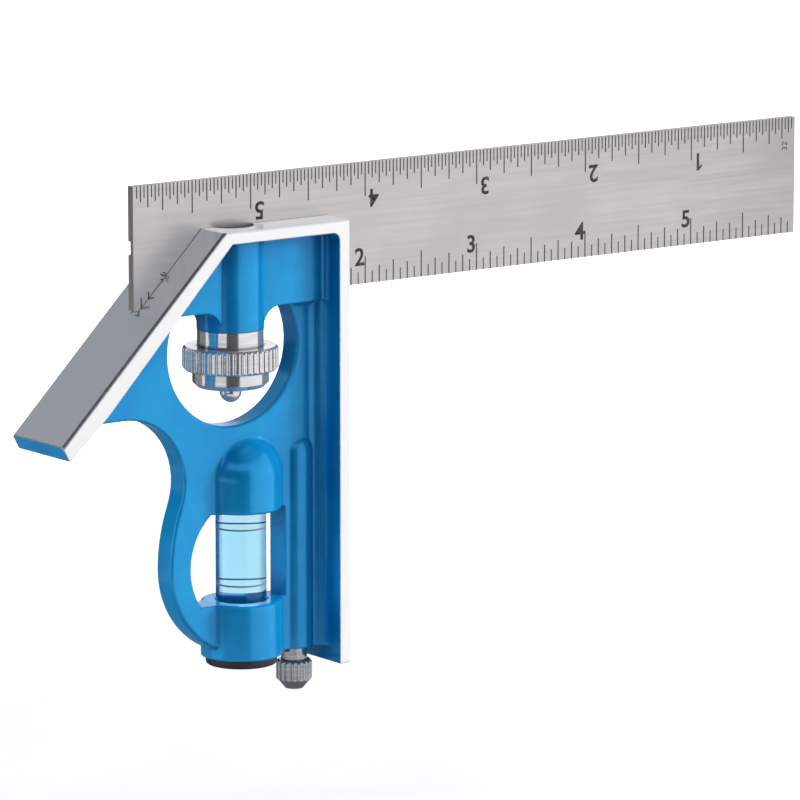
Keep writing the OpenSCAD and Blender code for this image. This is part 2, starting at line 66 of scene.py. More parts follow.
# Places of the parts, read from the frame
blade_low, blade_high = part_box("blade")
head_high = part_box("head")[1]
tube_low, tube_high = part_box("vial_tube")
bolt_low, bolt_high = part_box("lock_bolt")
spring_low, spring_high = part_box("lock_spring")
tube_centre = (tube_low + tube_high) / 2
tube_radius = (tube_high.x - tube_low.x) / 2
bolt_x = (bolt_low.x + bolt_high.x) / 2
whole_inches = round((blade_high.x - blade_low.x) / INCH)
scriber_slide = next(joint for joint in frame["joints"] if joint["name"] == "scriber_slide")
scriber_travel = scriber_slide["range_m"][1]


# Nodes and meshes

# Sockets of Blender's Mix node that have no name of their own: A, B and the result
VALUE_SOCKETS = (2, 3, 0)
COLOUR_SOCKETS = (6, 7, 2)
OPENNESS_SAMPLES = 8


def feed(tree, socket, value):
    """Links an input to another socket, or sets it to a value."""
    if isinstance(value, bpy.types.NodeSocket):
        tree.links.new(value, socket)
    else:
        socket.default_value = value


def add_node(tree, kind, inputs=None, **settings):
    """Adds a shader node, sets its options, and links or sets its inputs."""
    node = tree.nodes.new(kind)
    for key, value in settings.items():
        setattr(node, key, value)
    for key, value in (inputs or {}).items():
        feed(tree, node.inputs[key], value)
    return node


def set_shader(tree, shader, **values):
    """Links or sets inputs of the principled shader, named with underscores for spaces."""
    for key, value in values.items():
        feed(tree, shader.inputs[key.replace("_", " ")], value)


def maths(tree, operation, first, second=0.0):
    return add_node(tree, "ShaderNodeMath", {0: first, 1: second}, operation=operation).outputs[0]


def largest(tree, *values):
    result = values[0]
    for value in values[1:]:
        result = maths(tree, "MAXIMUM", result, value)
    return result


def product(tree, *values):
    result = values[0]
    for value in values[1:]:
        result = maths(tree, "MULTIPLY", result, value)
    return result


def ramp(tree, value, low, high, start=0.0, end=1.0):
    """Runs from start to end as value goes from low to high, and stays there."""
    inputs = {"Value": value, "From Min": low, "From Max": high, "To Min": start, "To Max": end}
    return add_node(tree, "ShaderNodeMapRange", inputs).outputs["Result"]


def within(tree, value, band, base=0.0):
    """Runs from 0 to 1 as value goes from one end of a band to the other, counted from base."""
    return ramp(tree, value, base + band[0], base + band[1])


def mix_value(tree, factor, first, second):
    a, b, result = VALUE_SOCKETS
    return add_node(tree, "ShaderNodeMix", {0: factor, a: first, b: second}).outputs[result]


def mix_colour(tree, factor, first, second):
    a, b, result = COLOUR_SOCKETS
    inputs = {0: factor, a: first, b: second}
    return add_node(tree, "ShaderNodeMix", inputs, data_type="RGBA").outputs[result]


def new_material(name):
    material = bpy.data.materials.new(name)
    material.use_nodes = True
    tree = material.node_tree
    return material, tree, tree.nodes["Principled BSDF"]


def object_place(tree):
    return add_node(tree, "ShaderNodeTexCoord").outputs["Object"]


def axes(tree, vector):
    """The X, Y and Z of a vector."""
    return add_node(tree, "ShaderNodeSeparateXYZ", {0: vector}).outputs


def axis_distance(tree, axis, x):
    """Distance from the upright line at x in the middle plane of the head."""
    from_x = maths(tree, "SUBTRACT", axis["X"], x)
    flat = add_node(tree, "ShaderNodeCombineXYZ", {"X": from_x, "Y": axis["Y"]}).outputs[0]
    return add_node(tree, "ShaderNodeVectorMath", {0: flat}, operation="LENGTH").outputs["Value"]


def noise(tree, place, scale, detail, stretch=(1, 1, 1)):
    """Noise whose grain is `scale` per metre, drawn out where `stretch` is below 1."""
    mapped = add_node(tree, "ShaderNodeMapping", {"Vector": place, "Scale": stretch}).outputs[0]
    inputs = {"Vector": mapped, "Scale": scale, "Detail": detail}
    return add_node(tree, "ShaderNodeTexNoise", inputs).outputs["Fac"]


def openness(tree, distance):
    """1 on open faces, less in corners and grooves about `distance` deep."""
    node = add_node(
        tree,
        "ShaderNodeAmbientOcclusion",
        {"Distance": distance},
        samples=OPENNESS_SAMPLES,
        only_local=True,
    )
    return node.outputs["AO"]


def bump(tree, height, distance, strength, normal=None):
    inputs = {"Height": height, "Distance": distance, "Strength": strength}
    if normal is not None:
        inputs["Normal"] = normal
    return add_node(tree, "ShaderNodeBump", inputs).outputs["Normal"]


def add_object(name, data):
    item = bpy.data.objects.new(name, data)
    bpy.context.scene.collection.objects.link(item)
    return item


def mesh_object(name, build, material):
    """Makes a piece from a function that fills a bmesh, in metres in the shared frame."""
    mesh = bpy.data.meshes.new(name)
    shape = bmesh.new()
    build(shape)
    bmesh.ops.recalc_face_normals(shape, faces=shape.faces)
    shape.to_mesh(mesh)
    shape.free()
    mesh.materials.append(material)
    return add_object(name, mesh)


def join_rows(shape, rows, closed):
    """Joins rows of points, each a loop, by faces; closed joins the last row to the first."""
    after_rows = rows[1:] + rows[:1] if closed else rows[1:]
    for here, there in zip(rows, after_rows):
        for k in range(len(here)):
            after = (k + 1) % len(here)
            shape.faces.new((here[k], here[after], there[after], there[k]))


# Materials

PAINT_BLUE = (0.002, 0.275, 0.58, 1)
PAINT_DEEP = (0.002, 0.235, 0.54, 1)
# Colour of the painted shadow in corners and recesses of the casting
PAINT_SHADOW = (0.001, 0.045, 0.22, 1)
GROUND_METAL = (0.77, 0.775, 0.78, 1)
# Painted shade: the square face is the same ground metal as the rims, coloured darker so that it
# stays below white under the key lamp
SHADED_SQUARE_METAL = (0.62, 0.63, 0.645, 1)
MITRE_METAL = (0.80, 0.86, 0.93, 1)
BLADE_STEEL = (0.68, 0.655, 0.645, 1)
BLADE_SHADE = (0.58, 0.56, 0.55, 1)
# Colour of the painted shade in the grooves of the plating
CREVICE_SHADE = (0.05, 0.05, 0.055, 1)
# Colour of the painted shade on the tube's walls where they are seen edge-on
ACRYLIC_WALL_SHADE = (0.42, 0.46, 0.56, 1)
LIQUID_END = (0.54, 0.82, 0.98, 1)
# Pairs of colours that a grain mixes
CHROME = ((0.82, 0.815, 0.825, 1), (0.68, 0.675, 0.685, 1))
# Darker plating of the scriber's knob; the darkening is partly painted shade, standing in for the
# dim surroundings the knob reflects low down
SHADED_KNOB_CHROME = ((0.40, 0.42, 0.45, 1), (0.31, 0.33, 0.36, 1))
SPRING_STEEL = ((0.55, 0.55, 0.55, 1), (0.42, 0.42, 0.42, 1))
PIN_STEEL = ((0.55, 0.55, 0.56, 1), (0.46, 0.46, 0.47, 1))
BRASS = ((0.72, 0.52, 0.20, 1), (0.60, 0.42, 0.15, 1))
ACRYLIC = ((0.97, 0.99, 1, 1), (0.94, 0.98, 1, 1))
LIQUID = ((0.40, 0.78, 0.96, 1), (0.46, 0.82, 0.97, 1))
CAP_PLASTIC = ((0.012, 0.012, 0.014, 1), (0.022, 0.022, 0.025, 1))
SCALE_INK = ((0.02, 0.019, 0.018, 1), (0.05, 0.047, 0.045, 1))
RING_INK = ((0.13, 0.18, 0.22, 1), (0.17, 0.22, 0.26, 1))

# Grains: count per metre, detail, and stretch along X, Y and Z
PAINT_SPECKLE = (900.0, 3.0)
PAINT_CLOUD = (120.0, 4.0)
PAINT_PEEL = (700.0, 2.0)
GRINDING_LINES = (2500.0, 2.0, (1, 1, 0.04))
BLADE_BRUSHING = (1800.0, 4.0, (0.03, 1, 1))
BLADE_SCRATCHES = (5200.0, 2.0, (0.02, 1, 1))
BLADE_CLOUD = (60.0, 3.0)
TURNING_MARKS = (2200.0, 3.0, (0.1, 0.1, 1))
DRAWING_STREAKS = (1500.0, 3.0, (1, 1, 0.1))
ACRYLIC_FLOW = (250.0, 2.0, (1, 1, 0.15))
LIQUID_SWIRL = (180.0, 2.0)
MOULD_GRAIN = (2600.0, 3.0)
INK_PATCHES = (1400.0, 3.0)
FLOOR_GRAIN = (30.0, 3.0)
CARD_GRAIN = (40.0, 3.0)

# Bands of a grain over which a colour or a roughness runs from end to end
NARROW = (0.35, 0.65)
MIDDLE = (0.3, 0.7)
BROAD = (0.25, 0.75)
FULL = (0.2, 0.8)
BRUSHING_BAND = (0.35, 0.75)
TURNING_BAND = (0.3, 0.8)
INK_BAND = (0.35, 0.7)

# Roughness from end to end of a grain
PAINT_ROUGHNESS = (0.17, 0.23)
GROUND_ROUGHNESS = (0.16, 0.26)
BLADE_ROUGHNESS = (0.30, 0.42)
CHROME_ROUGHNESS = (0.10, 0.17)
SPRING_ROUGHNESS = (0.30, 0.42)
PIN_ROUGHNESS = (0.22, 0.34)
BRASS_ROUGHNESS = (0.25, 0.37)
ACRYLIC_ROUGHNESS = (0.0, 0.03)
CAP_ROUGHNESS = (0.32, 0.48)
INK_ROUGHNESS = (0.45, 0.65)

PAINT_METALLIC = 0.35
GROUND_METALLIC = 0.45
CHROME_METALLIC = 0.85
PEEL_DEPTH = 0.02 * MM
PEEL_STRENGTH = 0.6
SCRATCH_DEPTH = 0.004 * MM
MOULD_DEPTH = 0.02 * MM
GRAIN_STRENGTH = 0.5
SOFT_EDGE = 0.45 * MM
SOFT_EDGE_SAMPLES = 6
RIM_WEAR = 0.06 * MM
# Painted shade in corners of the casting and grooves of the plating: their depth, and from how
# open to how shut
CORNER_REACH = 5 * MM
CORNER_BAND = (0.95, 0.25)
CORNER_SHADE = 0.75
GROOVE_REACH = 0.8 * MM
GROOVE_BAND = (0.9, 0.3)

# Where paint ends and bare metal is full, counted from the face that is ground
RIM_SKIN = (-0.12 * MM, -0.07 * MM)
FACE_SKIN = (-0.12 * MM, -0.06 * MM)
MITRE_SKIN = (0.16 * MM, 0.08 * MM)
SIDE_CHAMFER = (-0.52 * MM, -0.48 * MM)
TOP_CHAMFER = (-0.40 * MM, -0.36 * MM)
MITRE_CHAMFER = (0.70 * MM, 0.66 * MM)
# The same in the slot and the bolt's bore, counted from the middle plane, level 0 or the axis
SLOT_HALF = (0.96 * MM, 0.92 * MM)
SLOT_FLOOR_OVER = (-1.5 * MM, -1.4 * MM)
SLOT_FLOOR_UNDER = (0.6 * MM, 0.5 * MM)
BORE_RADIUS = (4.5 * MM, 4.4 * MM)
BORE_FOOT = (-6.0 * MM, -5.9 * MM)
FACING_SIDE = (0.8, 0.9)
FACING_UP = (0.4, 0.5)

RING_LEVELS = (-41.7 * MM, -52.0 * MM)
LIQUID_END_BAND = (3.8 * MM, 6.5 * MM)
TUBE_SKIN = (-0.6 * MM, -0.3 * MM)
WALL_BAND = (0.28, 0.45)
EVEN_BLEND = 0.5
ACRYLIC_IOR = 1.38
WETTED_IOR = 1.0


def mitre_offset():
    """X less Z along the mitre face, which rises at 45 degrees from the head's leftmost point."""
    tip = min((v.co for v in frame["nodes"]["head"].data.vertices), key=lambda co: co.x)
    return tip.x - tip.z


def bare_masks(tree, axis, facing, wear):
    """Where the casting is bare: the polished mitre, the square face, and all bare places."""
    depth = maths(tree, "ABSOLUTE", axis["Y"])
    slant = maths(tree, "SUBTRACT", axis["X"], axis["Z"])
    sideways = maths(tree, "ABSOLUTE", facing["Y"])
    offset = mitre_offset()
    chamfer = within(tree, depth, SIDE_CHAMFER, head_high.y)

    mitre = within(tree, slant, MITRE_SKIN, offset)
    mitre_edge = product(tree, chamfer, within(tree, slant, MITRE_CHAMFER, offset))
    polished = largest(tree, mitre, mitre_edge)
    rims = within(tree, maths(tree, "ADD", depth, wear), RIM_SKIN, head_high.y)
    square = within(tree, axis["X"], FACE_SKIN)
    square_edge = product(tree, chamfer, within(tree, axis["X"], SIDE_CHAMFER))
    top = within(tree, axis["Z"], FACE_SKIN, head_high.z)
    top_edge = product(tree, chamfer, within(tree, axis["Z"], TOP_CHAMFER, head_high.z))
    outer = largest(tree, polished, rims, square, square_edge, top, top_edge)

    in_slot = within(tree, depth, SLOT_HALF)
    slot_walls = product(tree, in_slot, within(tree, sideways, FACING_SIDE))
    over = within(tree, axis["Z"], SLOT_FLOOR_OVER)
    under = within(tree, axis["Z"], SLOT_FLOOR_UNDER)
    slot_floor = product(tree, in_slot, within(tree, facing["Z"], FACING_UP), over, under)
    in_bore = within(tree, axis_distance(tree, axis, bolt_x), BORE_RADIUS)
    bore = product(tree, in_bore, within(tree, axis["Z"], BORE_FOOT))
    return polished, square, largest(tree, outer, slot_walls, slot_floor, bore)


def head_material():
    """Glossy azure paint, with ground bare metal on the rims, faces, slot and bolt bore."""
    material, tree, shader = new_material("azure_paint_over_ground_casting")
    place = object_place(tree)
    facing = add_node(tree, "ShaderNodeNewGeometry").outputs["True Normal"]
    speckle = noise(tree, place, *PAINT_SPECKLE)
    wear = ramp(tree, speckle, *MIDDLE, -RIM_WEAR, RIM_WEAR)
    polished, square, bare = bare_masks(tree, axes(tree, place), axes(tree, facing), wear)
    # The square face gets a darker copy of the ground metal, as painted shade
    ground = mix_colour(tree, square, GROUND_METAL, SHADED_SQUARE_METAL)
    ground = mix_colour(tree, polished, ground, MITRE_METAL)

    cloud = noise(tree, place, *PAINT_CLOUD)
    paint = mix_colour(tree, ramp(tree, cloud, *NARROW), PAINT_BLUE, PAINT_DEEP)
    # Painted shade: the paint is darkened in corners and recesses of the casting, where shade
    # falls
    corners = ramp(tree, openness(tree, CORNER_REACH), *CORNER_BAND, 0.0, CORNER_SHADE)
    paint = mix_colour(tree, corners, paint, PAINT_SHADOW)
    lines = noise(tree, place, *GRINDING_LINES)
    ground_roughness = ramp(tree, lines, *FULL, *GROUND_ROUGHNESS)
    paint_roughness = ramp(tree, speckle, *FULL, *PAINT_ROUGHNESS)
    metallic = ramp(tree, bare, 0, 1, PAINT_METALLIC, GROUND_METALLIC)
    bevel = add_node(tree, "ShaderNodeBevel", {"Radius": SOFT_EDGE}, samples=SOFT_EDGE_SAMPLES)
    peel = product(tree, noise(tree, place, *PAINT_PEEL), maths(tree, "SUBTRACT", 1.0, bare))
    set_shader(
        tree,
        shader,
        Base_Color=mix_colour(tree, bare, paint, ground),
        Metallic=largest(tree, polished, metallic),
        Roughness=mix_value(tree, bare, paint_roughness, ground_roughness),
        Normal=bump(tree, peel, PEEL_DEPTH, PEEL_STRENGTH, bevel.outputs["Normal"]),
    )
    return material


def blade_material():
    """Satin stainless steel, brushed along the blade."""
    material, tree, shader = new_material("satin_rule_steel")
    place = object_place(tree)
    brushed = noise(tree, place, *BLADE_BRUSHING)
    scratches = noise(tree, place, *BLADE_SCRATCHES)
    cloud = noise(tree, place, *BLADE_CLOUD)
    steel = mix_colour(tree, ramp(tree, cloud, *MIDDLE), BLADE_STEEL, BLADE_SHADE)
    set_shader(
        tree,
        shader,
        Base_Color=mix_colour(tree, ramp(tree, brushed, *BRUSHING_BAND), steel, BLADE_SHADE),
        Metallic=1.0,
        Roughness=ramp(tree, brushed, *BROAD, *BLADE_ROUGHNESS),
        Normal=bump(tree, scratches, SCRATCH_DEPTH, GRAIN_STRENGTH),
    )
    return material


def chrome_material(name, colours):
    """Bright plating with faint turning marks, with painted shade in its grooves."""
    material, tree, shader = new_material(name)
    turned = noise(tree, object_place(tree), *TURNING_MARKS)
    plating = mix_colour(tree, ramp(tree, turned, *TURNING_BAND), *colours)
    # Painted shade: the plating is darkened in its grooves and knurl, where shade falls
    groove_shade = ramp(tree, openness(tree, GROOVE_REACH), *GROOVE_BAND)
    set_shader(
        tree,
        shader,
        Base_Color=mix_colour(tree, groove_shade, plating, CREVICE_SHADE),
        Metallic=CHROME_METALLIC,
        Roughness=ramp(tree, turned, *BROAD, *CHROME_ROUGHNESS),
    )
    return material


def metal_material(name, colours, roughness):
    """Plain drawn or turned metal with soft streaks."""
    material, tree, shader = new_material(name)
    streak = noise(tree, object_place(tree), *DRAWING_STREAKS)
    set_shader(
        tree,
        shader,
        Base_Color=mix_colour(tree, ramp(tree, streak, *MIDDLE), *colours),
        Metallic=1.0,
        Roughness=ramp(tree, streak, *BROAD, *roughness),
    )
    return material


def acrylic_material():
    """Clear acrylic with fine flow marks and painted shade on its walls seen edge-on; its bore,
    wetted, bends no light.
    """
    material, tree, shader = new_material("clear_acrylic")
    place = object_place(tree)
    flow = noise(tree, place, *ACRYLIC_FLOW)
    from_axis = axis_distance(tree, axes(tree, place), tube_centre.x)
    outside = within(tree, from_axis, TUBE_SKIN, tube_radius)
    # Painted shade: the outer skin darkens where it is seen edge-on
    grazing = add_node(tree, "ShaderNodeLayerWeight", {"Blend": EVEN_BLEND}).outputs["Facing"]
    wall_shade = product(tree, outside, within(tree, grazing, WALL_BAND))
    clear = mix_colour(tree, ramp(tree, flow, *MIDDLE), *ACRYLIC)
    set_shader(
        tree,
        shader,
        Base_Color=mix_colour(tree, wall_shade, clear, ACRYLIC_WALL_SHADE),
        Transmission_Weight=1.0,
        IOR=ramp(tree, outside, 0, 1, WETTED_IOR, ACRYLIC_IOR),
        Roughness=ramp(tree, flow, *MIDDLE, *ACRYLIC_ROUGHNESS),
    )
    return material


def liquid_material():
    """Pale blue-green spirit, a little paler at its ends; its wetted surface bends no light."""
    material, tree, shader = new_material("pale_spirit")
    place = object_place(tree)
    tint = mix_colour(tree, noise(tree, place, *LIQUID_SWIRL), *LIQUID)
    from_middle = maths(tree, "SUBTRACT", axes(tree, place)["Z"], sum(RING_LEVELS) / 2)
    ends = within(tree, maths(tree, "ABSOLUTE", from_middle), LIQUID_END_BAND)
    set_shader(
        tree,
        shader,
        Base_Color=mix_colour(tree, ends, tint, LIQUID_END),
        Transmission_Weight=1.0,
        IOR=WETTED_IOR,
        Roughness=0.0,
    )
    return material


def plastic_material():
    """Black moulded plastic with a fine spark-eroded grain."""
    material, tree, shader = new_material("black_moulded_plastic")
    grain = noise(tree, object_place(tree), *MOULD_GRAIN)
    set_shader(
        tree,
        shader,
        Base_Color=mix_colour(tree, ramp(tree, grain, *MIDDLE), *CAP_PLASTIC),
        Roughness=ramp(tree, grain, *BROAD, *CAP_ROUGHNESS),
        Normal=bump(tree, grain, MOULD_DEPTH, GRAIN_STRENGTH),
    )
    return material


def ink_material(name, colours):
    """Dark filling of the etched or printed marks."""
    material, tree, shader = new_material(name)
    patchy = noise(tree, object_place(tree), *INK_PATCHES)
    set_shader(
        tree,
        shader,
        Base_Color=mix_colour(tree, ramp(tree, patchy, *INK_BAND), *colours),
        Roughness=ramp(tree, patchy, *BROAD, *INK_ROUGHNESS),
    )
    return material


# Scale of the blade

MARK_HEIGHT = 0.012 * MM
MARK_SINK = 0.006 * MM
TICK_WIDTH = 0.25 * MM
FINE_TICK_WIDTH = 0.22 * MM
# Tick length for each division of the inch, coarse to fine
TOP_TICKS = (
    (1, 6.2 * MM),
    (2, 5.8 * MM),
    (4, 4.7 * MM),
    (8, 3.9 * MM),
    (16, 2.9 * MM),
    (32, 2.2 * MM),
)
LOW_TICKS = ((1, 5.0 * MM), (2, 4.9 * MM), (4, 3.8 * MM), (8, 3.2 * MM), (16, 2.2 * MM))
NUMERAL_HEIGHT = 3.3 * MM
NUMERAL_BOLD = 0.02
LOW_NUMERAL_SHIFT = -1.25 * MM
LOW_NUMERAL_Z = 5.0 * MM
LOW_NUMERAL_TURN = 0
TOP_NUMERAL_SHIFT = 1.95 * MM
TOP_NUMERAL_Z = 15.55 * MM
TOP_NUMERAL_TURN = 180
# Small labels that name the divisions of a scale: text, X, Z
LABELS = (("32", 107.6 * MM, 16.8 * MM), ("16", -36.0 * MM, 5.7 * MM))
LABEL_HEIGHT = 1.3 * MM
LABEL_BOLD = 0.0
LABEL_TURN = 90
# Outline of a numeral one with its flag, one unit tall
ONE_OUTLINE = ((0.17, 0), (0.17, 1), (0.02, 1), (-0.2, 0.8), (-0.2, 0.63), (0, 0.79), (0, 0))
# Points of a numeral that are closer than this, for a numeral about one unit tall, are one
WELD = 1e-5


def add_mark(shape, x, width, low, high):
    """Adds one closed flat bar on the front face of the blade."""
    size = Matrix.Diagonal((width, MARK_HEIGHT + MARK_SINK, high - low, 1))
    centre = (x, blade_low.y + (MARK_SINK - MARK_HEIGHT) / 2, (low + high) / 2)
    bmesh.ops.create_cube(shape, size=1, matrix=Matrix.Translation(centre) @ size)


def tick_length(step, finest, lengths):
    """Length of the tick `step` finest divisions along, set by the coarsest that it falls on."""
    return next(length for division, length in lengths if step * division % finest == 0)


def add_ticks(shape, lengths, from_top):
    """Adds the ticks of one edge; those of the top edge count from the other end."""
    finest = lengths[-1][0]
    for step in range(1, whole_inches * finest):
        length = tick_length(step, finest, lengths)
        width = FINE_TICK_WIDTH if length == lengths[-1][1] else TICK_WIDTH
        along = step * INCH / finest
        if from_top:
            add_mark(shape, blade_high.x - along, width, blade_high.z - length, blade_high.z)
        else:
            add_mark(shape, blade_low.x + along, width, blade_low.z, blade_low.z + length)


def font_mesh(text, bold):
    """Mesh of the text in the built-in font, its strokes widened by `bold`."""
    curve = bpy.data.curves.new("numeral", "FONT")
    curve.body = text
    curve.offset = bold
    holder = add_object("numeral", curve)
    bpy.context.view_layer.update()
    drawn = holder.evaluated_get(bpy.context.evaluated_depsgraph_get())
    mesh = bpy.data.meshes.new_from_object(drawn)
    bpy.data.objects.remove(holder)
    return mesh


def numeral_mesh(text, bold):
    """Mesh of a numeral, one unit tall and centred, lying in XY and facing +Z."""
    if text == "1":
        mesh = bpy.data.meshes.new("numeral")
        corners = [(x, y, 0) for x, y in reversed(ONE_OUTLINE)]
        mesh.from_pydata(corners, [], [range(len(corners))])
    else:
        mesh = font_mesh(text, bold)
    xs = [v.co.x for v in mesh.vertices]
    ys = [v.co.y for v in mesh.vertices]
    tall = max(ys) - min(ys)
    centre = Vector(((min(xs) + max(xs)) / 2, (min(ys) + max(ys)) / 2, 0))
    mesh.transform(Matrix.Scale(1 / tall, 4) @ Matrix.Translation(-centre))
    return mesh


def add_numeral(shape, text, x, z, height, turn, bold):
    """Adds a raised numeral on the front face of the blade, turned by degrees in that face."""
    mesh = numeral_mesh(text, bold)
    part = bmesh.new()
    part.from_mesh(mesh)
    bpy.data.meshes.remove(mesh)
    bmesh.ops.remove_doubles(part, verts=part.verts, dist=WELD)
    solid = bmesh.ops.extrude_face_region(part, geom=part.faces[:])
    lifted = [item for item in solid["geom"] if isinstance(item, bmesh.types.BMVert)]
    bmesh.ops.translate(part, verts=lifted, vec=(0, 0, (MARK_HEIGHT + MARK_SINK) / height))
    upright = Matrix.Rotation(math.radians(90), 4, "X")
    turned = Matrix.Rotation(math.radians(turn), 4, "Z")
    place = Matrix.Translation((x, blade_low.y + MARK_SINK, z))
    part.transform(place @ upright @ turned @ Matrix.Scale(height, 4))
    copy = bpy.data.meshes.new("numeral")
    part.to_mesh(copy)
    part.free()
    shape.from_mesh(copy)
    bpy.data.meshes.remove(copy)


def build_scale(shape):
    """Scale of the front face: sixteenths along the lower edge, thirty-seconds along the top."""
    add_ticks(shape, LOW_TICKS, False)
    add_ticks(shape, TOP_TICKS, True)
    for n in range(1, whole_inches):
        low = (blade_low.x + n * INCH + LOW_NUMERAL_SHIFT, LOW_NUMERAL_Z, LOW_NUMERAL_TURN)
        top = (blade_high.x - n * INCH + TOP_NUMERAL_SHIFT, TOP_NUMERAL_Z, TOP_NUMERAL_TURN)
        for x, z, turn in (low, top):
            add_numeral(shape, str(n), x, z, NUMERAL_HEIGHT, turn, NUMERAL_BOLD)
    for text, x, z in LABELS:
        add_numeral(shape, text, x, z, LABEL_HEIGHT, LABEL_TURN, LABEL_BOLD)


def build_back_scale(shape):
    """The same scale on the back face, turned round so that it reads from there."""
    build_scale(shape)
    to_middle = Matrix.Translation(((blade_low.x + blade_high.x) / 2, 0, 0))
    shape.transform(to_middle @ Matrix.Rotation(math.pi, 4, "Z") @ to_middle.inverted())


# Rings of the vial, and the spring

RING_WIDTH = 0.30 * MM
RING_HEIGHT = 0.015 * MM
RING_SINK = 0.01 * MM
RING_SEGMENTS = 96
SPRING_TURNS = 2.5
SPRING_WIRE_RADIUS = 0.3 * MM
SPRING_SIDES = 12
SPRING_STEPS_PER_TURN = 32


def build_rings(shape):
    """Thin printed bands round the vial."""
    inner = tube_radius - RING_SINK
    outer = tube_radius + RING_HEIGHT
    half = RING_WIDTH / 2
    corners = ((inner, -half), (outer, -half), (outer, half), (inner, half))
    axis = Vector((tube_centre.x, tube_centre.y, 0))
    for level in RING_LEVELS:
        rows = []
        for step in range(RING_SEGMENTS):
            angle = 2 * math.pi * step / RING_SEGMENTS
            spoke = Vector((math.cos(angle), math.sin(angle), 0))
            points = [axis + spoke * r + Vector((0, 0, level + z)) for r, z in corners]
            rows.append([shape.verts.new(point) for point in points])
        join_rows(shape, rows, True)


def build_spring(shape):
    """One unbroken helix of round wire in the space of the solid that it stands for."""
    bend = (spring_high.x - spring_low.x) / 2 - SPRING_WIRE_RADIUS
    climb = spring_high.z - spring_low.z - 2 * SPRING_WIRE_RADIUS
    count = round(SPRING_TURNS * SPRING_STEPS_PER_TURN)
    rows = []
    for step in range(count + 1):
        angle = 2 * math.pi * SPRING_TURNS * step / count
        level = spring_low.z + SPRING_WIRE_RADIUS + climb * step / count
        row = []
        for k in range(SPRING_SIDES):
            around = 2 * math.pi * k / SPRING_SIDES
            reach = bend + SPRING_WIRE_RADIUS * math.cos(around)
            z = level + SPRING_WIRE_RADIUS * math.sin(around)
            point = (bolt_x + reach * math.cos(angle), reach * math.sin(angle), z)
            row.append(shape.verts.new(point))
        rows.append(row)
    join_rows(shape, rows, False)
    shape.faces.new(rows[0])
    shape.faces.new(rows[-1])


# The CAD nodes get their materials, and the pieces are added

spring_steel = metal_material("drawn_spring_wire", SPRING_STEEL, SPRING_ROUGHNESS)
clear_acrylic = acrylic_material()
NODE_MATERIALS = {
    "head": head_material(),
    "blade": blade_material(),
    "lock_bolt": chrome_material("plated_bolt", CHROME),
    "lock_nut": chrome_material("plated_nut", CHROME),
    "lock_spring": spring_steel,
    "vial_tube": clear_acrylic,
    "vial_fluid": liquid_material(),
    "vial_plug": clear_acrylic,
    "vial_cap": plastic_material(),
    "scriber_shank": metal_material("ground_pin", PIN_STEEL, PIN_ROUGHNESS),
    "scriber_head": chrome_material("plated_knob", SHADED_KNOB_CHROME),
    "scriber_sleeve": metal_material("turned_brass", BRASS, BRASS_ROUGHNESS),
}
CLEAR_NODES = ("vial_tube", "vial_fluid", "vial_plug")

for name, material in NODE_MATERIALS.items():
    node = frame["nodes"][name]
    node.data.materials.clear()
    node.data.materials.append(material)
for name in CLEAR_NODES:
    frame["nodes"][name].visible_shadow = False  # lamps shine through clear parts

scale_ink = ink_material("etched_black", SCALE_INK)
front_scale = mesh_object("front_scale", build_scale, scale_ink)
back_scale = mesh_object("back_scale", build_back_scale, scale_ink)
for piece in (front_scale, back_scale):
    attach(piece, "blade")

vial_rings = mesh_object("vial_rings", build_rings, ink_material("printed_ring_ink", RING_INK))
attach(vial_rings, "head")

spring = mesh_object("lock_spring_coil", build_spring, spring_steel)
spring.data.polygons.foreach_set("use_smooth", [True] * len(spring.data.polygons))
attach(spring, "head")
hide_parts("lock_spring")


# Floor, light and camera

CAMERA_AZIMUTH = -36.67
CAMERA_ELEVATION = 10.39
CAMERA_TARGET = Vector((16.97, 0, -22.56)) * MM
CAMERA_DISTANCE = 1.15
CAMERA_LENS = 282.7
CAMERA_SENSOR = 36
CAMERA_CLIP = (0.01, 50)

FLOOR_GAP = 3 * MM
FLOOR_LEVEL = cad_box[0][2] - scriber_travel - FLOOR_GAP
FLOOR_SIZE = 6.0
FLOOR_CELLS = 8
FLOOR_SHADES = (0.62, 0.66)
FLOOR_ROUGHNESS = 0.9
# The floor's own light for the camera, and its brightness in reflections, grow with distance; the
# dim patch that reflections see near the object is a painted shadow
FLOOR_CENTRE = (-0.03, 0.06, FLOOR_LEVEL)
GLOW_BAND = (0.15, 0.60)
FLOOR_GLOW = 0.8
MIRRORED_BAND = (0.12, 0.20)
FLOOR_MIRRORED = (0.15, 1.0)

AMBIENT = (0.25, 0.27, 0.35, 1)
# Brightness of the studio by the height of a ray, seen to the front and to the back
FRONT_STOPS = ((0.20, 1.0), (0.50, 0.88), (0.63, 0.82), (0.72, 0.04))
BACK_STOPS = ((0.20, 1.0), (0.45, 0.48), (0.60, 0.30), (0.80, 0.05))
FRONT_TO_BACK = (-0.15, 0.15)
STUDIO_BLUE = 1.03

# Square lamps: azimuth, elevation, distance, size, power, colour
LAMPS = {
    "key": (53, 15, 1.0, 0.22, 11.5, (1, 0.97, 0.92)),
    "left_light": (-105, 12, 1.0, 0.4, 5.0, (1, 1, 1)),
    "top_light": (20, 75, 1.0, 0.7, 8.0, (1, 1, 1)),
    "back_light": (160, 32, 1.1, 0.6, 7.0, (1, 1, 1)),
}

CARD_X = -20 * MM
CARD_DISTANCE = 0.21
CARD_TOP = 60 * MM
CARD_STEPS = 12
CARD_BLACK = (0.01, 0.01, 0.01, 1)
CARD_SPREAD = 0.05
